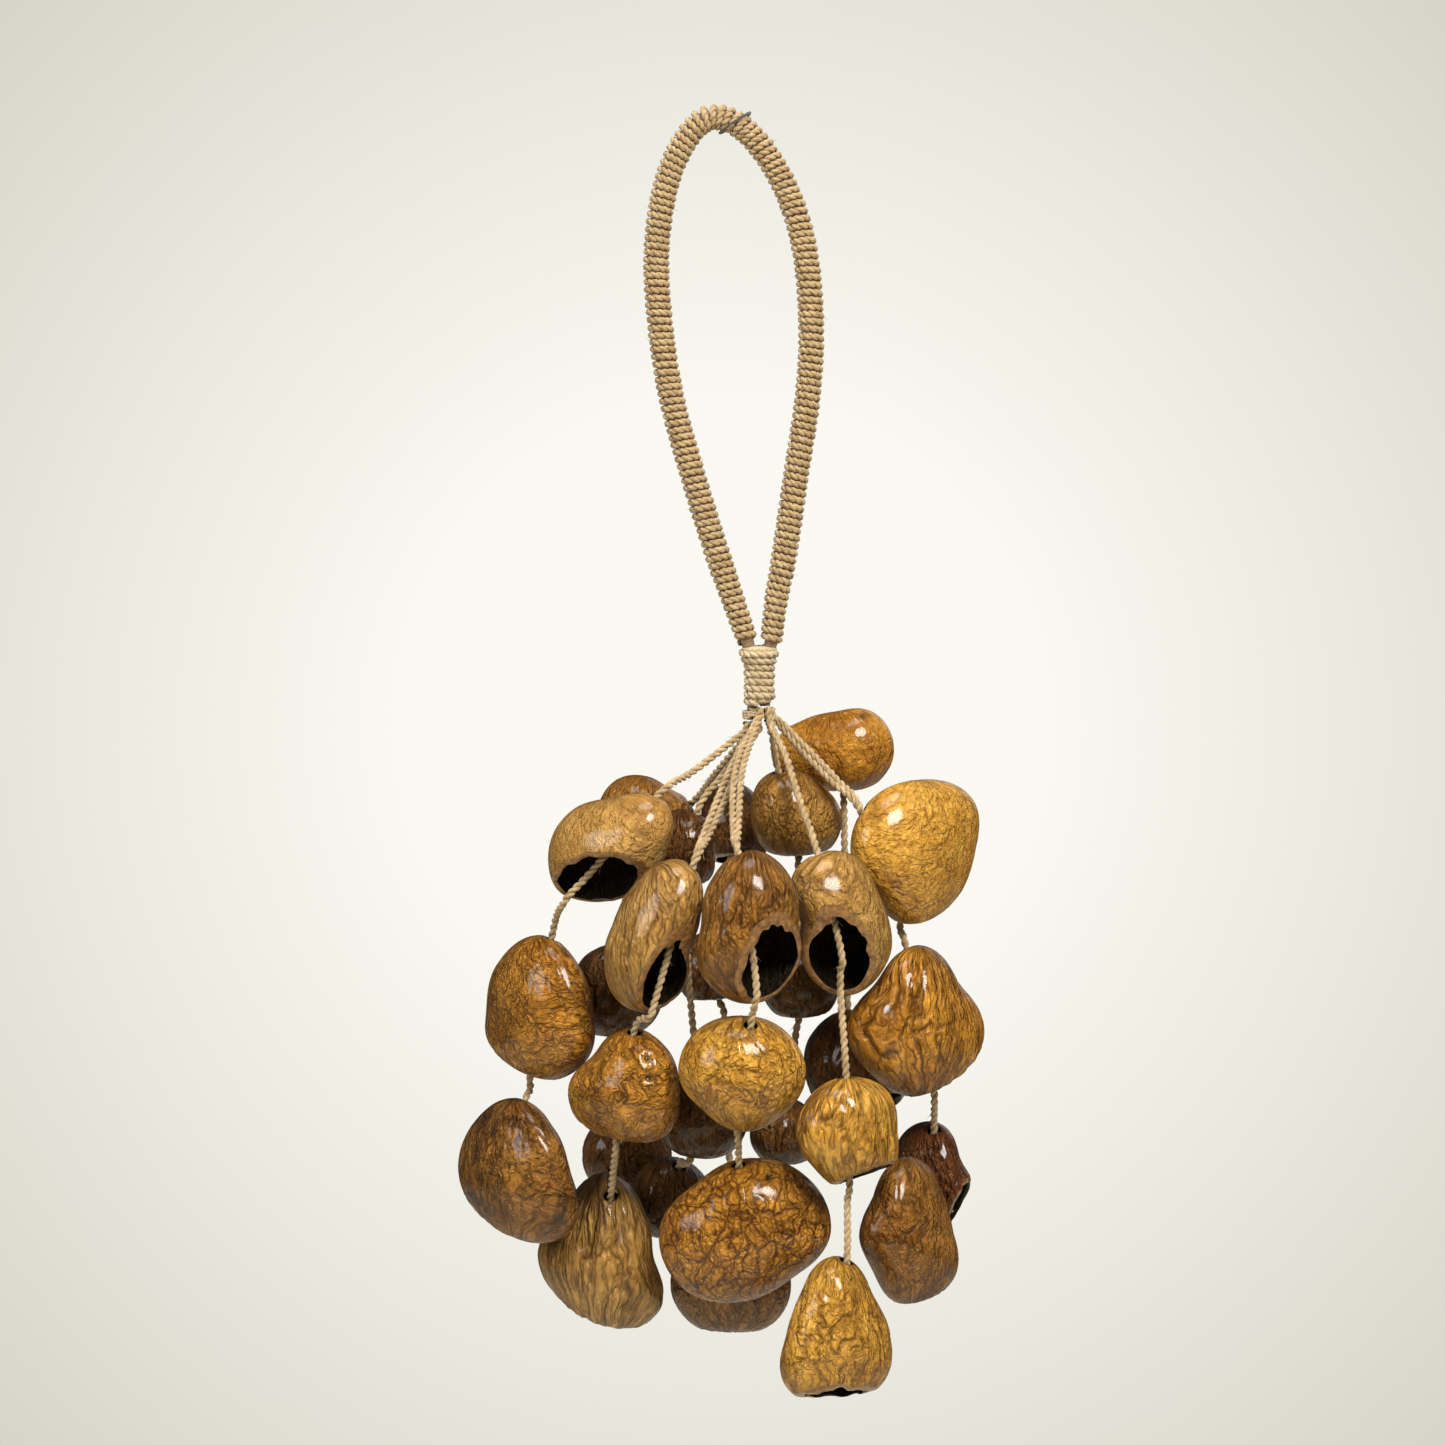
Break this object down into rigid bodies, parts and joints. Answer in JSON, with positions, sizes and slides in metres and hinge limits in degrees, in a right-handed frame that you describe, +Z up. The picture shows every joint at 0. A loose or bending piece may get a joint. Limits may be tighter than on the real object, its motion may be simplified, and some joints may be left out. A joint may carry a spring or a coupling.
{
  "type": "nutshell rattle",
  "caption": "Hand rattle: a cord-wrapped hanging loop bound at its neck, with limp strings of open, hollow nutshells that hang in a bunch, swing and knock together.",
  "frame": {"origin": "top of the inside of the hand loop, where the rattle hangs from a peg or a finger", "axes": "+Z up, along the hanging rattle; -Y towards the front, the side the picture shows; +X to the right seen from the front"},
  "size_m": [0.1428, 0.094, 0.3449],
  "materials": {
    "cord": "twisted plant fibre, matt",
    "dark_thread": "thin dark thread",
    "golden_shell": "hard veined shell, glossy, black inside",
    "tan_shell": "hard smooth shell, satin, black inside",
    "brown_shell": "hard wrinkled shell, glossy, black inside"
  },
  "bodies": {
    "handle": {"handle_core": "cord", "handle_wrapping": "cord", "neck_binding": "cord", "neck_tie": "cord", "hang_thread": "dark_thread"},
    "strand_01": {"string_01": "cord", "nut_01_upper": "tan_shell", "nut_01_middle": "golden_shell", "nut_01_lower": "golden_shell"},
    "strand_02": {"string_02": "cord", "nut_02_upper": "tan_shell", "nut_02_middle": "golden_shell", "nut_02_lower": "golden_shell"},
    "strand_03": {"string_03": "cord", "nut_03_upper": "tan_shell", "nut_03_middle": "golden_shell", "nut_03_lower": "golden_shell"},
    "strand_04": {"string_04": "cord", "nut_04_upper": "tan_shell", "nut_04_middle": "golden_shell", "nut_04_lower": "golden_shell"},
    "strand_05": {"string_05": "cord", "nut_05_upper": "golden_shell", "nut_05_middle": "golden_shell", "nut_05_lower": "brown_shell"},
    "strand_06": {"string_06": "cord", "nut_06_upper": "golden_shell", "nut_06_middle": "brown_shell", "nut_06_lower": "golden_shell"},
    "strand_07": {"string_07": "cord", "nut_07_upper": "tan_shell", "nut_07_middle": "brown_shell", "nut_07_lower": "brown_shell"},
    "strand_08": {"string_08": "cord", "nut_08_upper": "brown_shell", "nut_08_middle": "brown_shell", "nut_08_lower": "brown_shell"},
    "strand_09": {"string_09": "cord", "nut_09_upper": "brown_shell", "nut_09_middle": "brown_shell", "nut_09_lower": "brown_shell"},
    "strand_10": {"string_10": "cord", "nut_10_upper": "golden_shell", "nut_10_middle": "brown_shell", "nut_10_lower": "brown_shell"}
  },
  "joints": [
    {"name": "strand_01_swing", "type": "hinge", "parent": "handle", "child": "strand_01", "pos_m": [0.00808, -0.0003, -0.1583], "axis": [-0.1736, 0.9848, 0], "range_deg": [0, 45]},
    {"name": "strand_02_swing", "type": "hinge", "parent": "handle", "child": "strand_02", "pos_m": [0.0098, -0.00175, -0.1583], "axis": [-0.9659, -0.2588, 0], "range_deg": [0, 3]},
    {"name": "strand_03_swing", "type": "hinge", "parent": "handle", "child": "strand_03", "pos_m": [0.012, -0.00344, -0.1546], "axis": [-0.9903, 0.1392, 0], "range_deg": [0, 45]},
    {"name": "strand_04_swing", "type": "hinge", "parent": "handle", "child": "strand_04", "pos_m": [0.01414, -0.00244, -0.1546], "axis": [-0.8192, -0.5736, 0], "range_deg": [0, 45]},
    {"name": "strand_05_swing", "type": "hinge", "parent": "handle", "child": "strand_05", "pos_m": [0.01483, 0.00146, -0.1546], "axis": [0, -1, 0], "range_deg": [0, 45]},
    {"name": "strand_06_swing", "type": "hinge", "parent": "handle", "child": "strand_06", "pos_m": [0.01353, 0.00293, -0.1546], "axis": [0.7071, 0.7071, 0], "range_deg": [0, 3]},
    {"name": "strand_07_swing", "type": "hinge", "parent": "handle", "child": "strand_07", "pos_m": [0.0151, -0.0006, -0.1546], "axis": [-1, 0, 0], "range_deg": [0, 5]},
    {"name": "strand_08_swing", "type": "hinge", "parent": "handle", "child": "strand_08", "pos_m": [0.01158, 0.00345, -0.1546], "axis": [0.9063, -0.4226, 0], "range_deg": [0, 45]},
    {"name": "strand_09_swing", "type": "hinge", "parent": "handle", "child": "strand_09", "pos_m": [0.01152, 0.0003, -0.1583], "axis": [-0.9659, -0.2588, 0], "range_deg": [0, 2]},
    {"name": "strand_10_swing", "type": "hinge", "parent": "handle", "child": "strand_10", "pos_m": [0.0095, 0.00172, -0.1583], "axis": [0.766, 0.6428, 0], "range_deg": [0, 45]}
  ]
}
